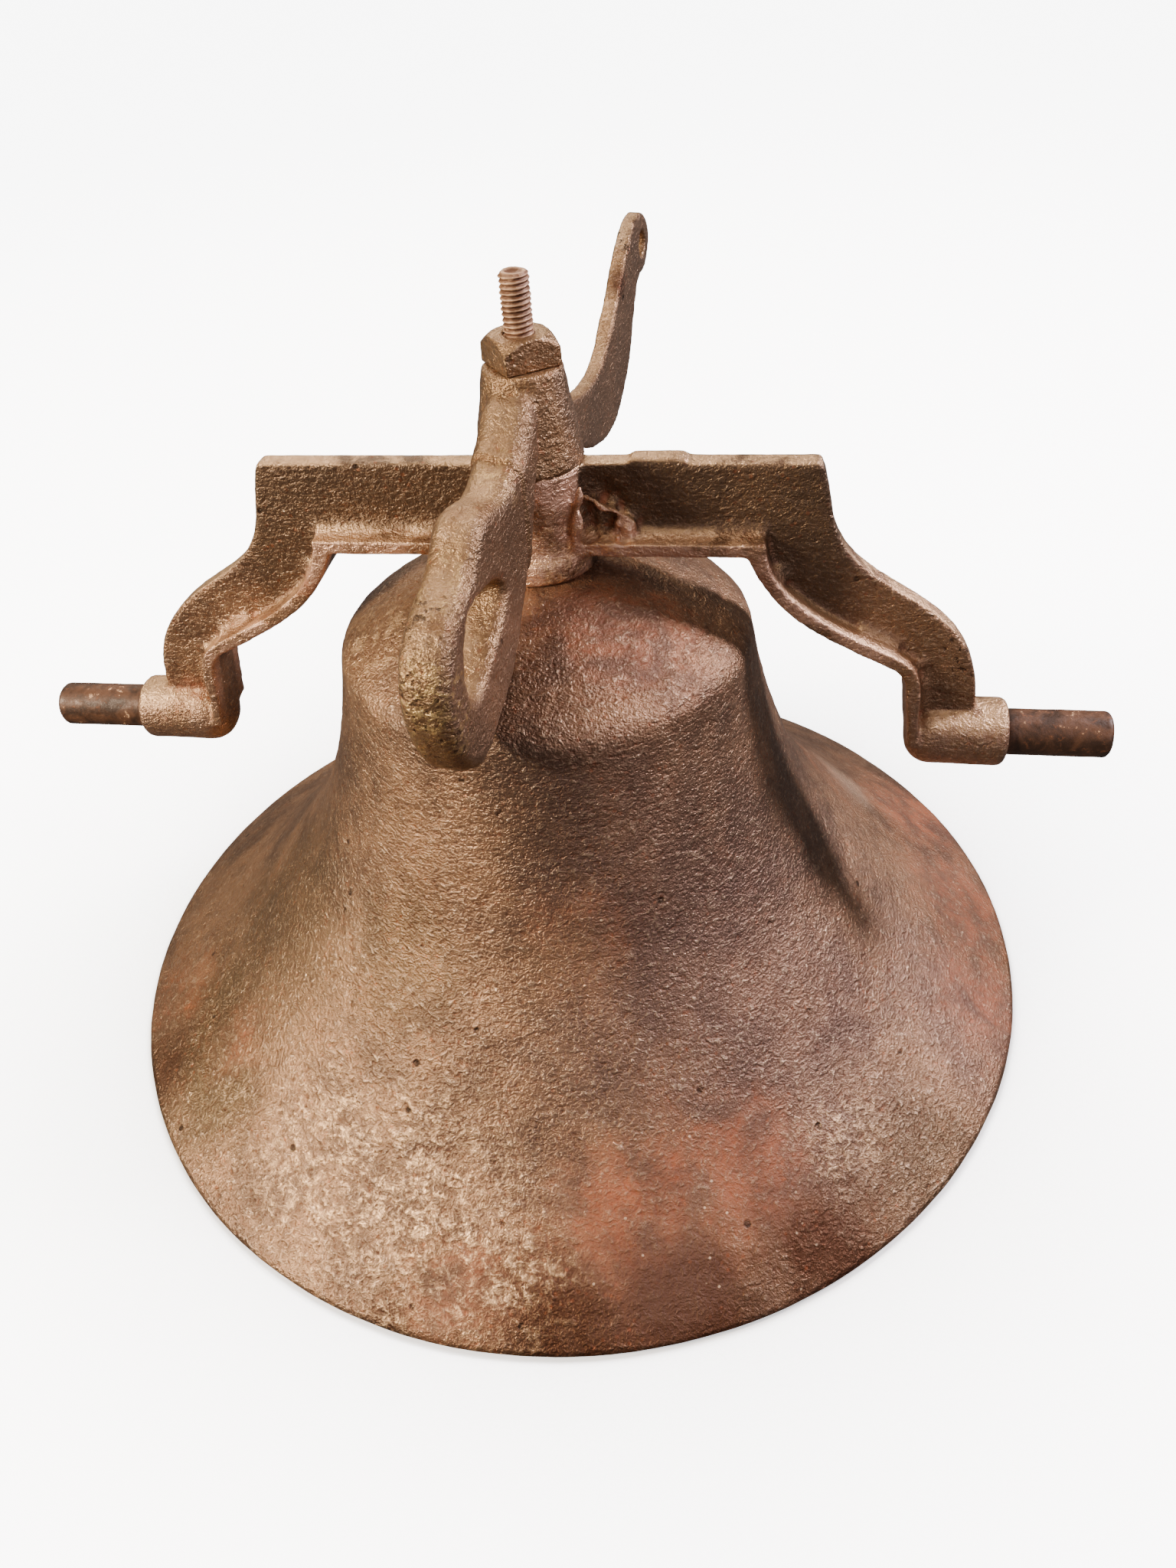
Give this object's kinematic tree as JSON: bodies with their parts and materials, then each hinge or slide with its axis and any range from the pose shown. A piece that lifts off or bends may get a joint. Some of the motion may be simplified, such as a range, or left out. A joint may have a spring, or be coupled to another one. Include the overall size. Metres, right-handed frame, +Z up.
{
  "type": "yard dinner bell",
  "caption": "Cast yard bell with a slender arched yoke, side trunnion pins, a curved pull lever bolted on top and a ball clapper that swings inside.",
  "frame": {"origin": "centre of the lip's mouth on the ground it stands on", "axes": "+X along the yoke's trunnion line, +Y towards the lever's rope eye, +Z up the bell's axis"},
  "size_m": [0.41, 0.381, 0.2887],
  "materials": {
    "bell_iron": "worn aluminium paint over rust",
    "yoke_iron": "worn aluminium paint over rust",
    "lever_iron": "worn aluminium paint over rust",
    "pin_steel": "rusty",
    "bolt_steel": "rusty with paint remains",
    "nut_iron": "worn aluminium paint over rust",
    "clapper_iron": "rusty",
    "wire_steel": "tarnished"
  },
  "bodies": {
    "bell": {"bell_casting": "bell_iron", "yoke_casting": "yoke_iron", "trunnion_pin_left": "pin_steel", "trunnion_pin_right": "pin_steel", "lever_casting": "lever_iron", "square_nut": "nut_iron", "clapper_bolt": "bolt_steel", "crown_washer": "wire_steel", "clapper_pin": "clapper_iron", "clapper_cotter": "wire_steel"},
    "clapper": {"clapper_rod": "clapper_iron", "clapper_ball": "clapper_iron"}
  },
  "joints": [
    {"name": "clapper_swing", "type": "hinge", "parent": "bell", "child": "clapper", "pos_m": [0, 0, 0.158], "axis": [1, 0, 0], "range_deg": [-41, 41]}
  ]
}
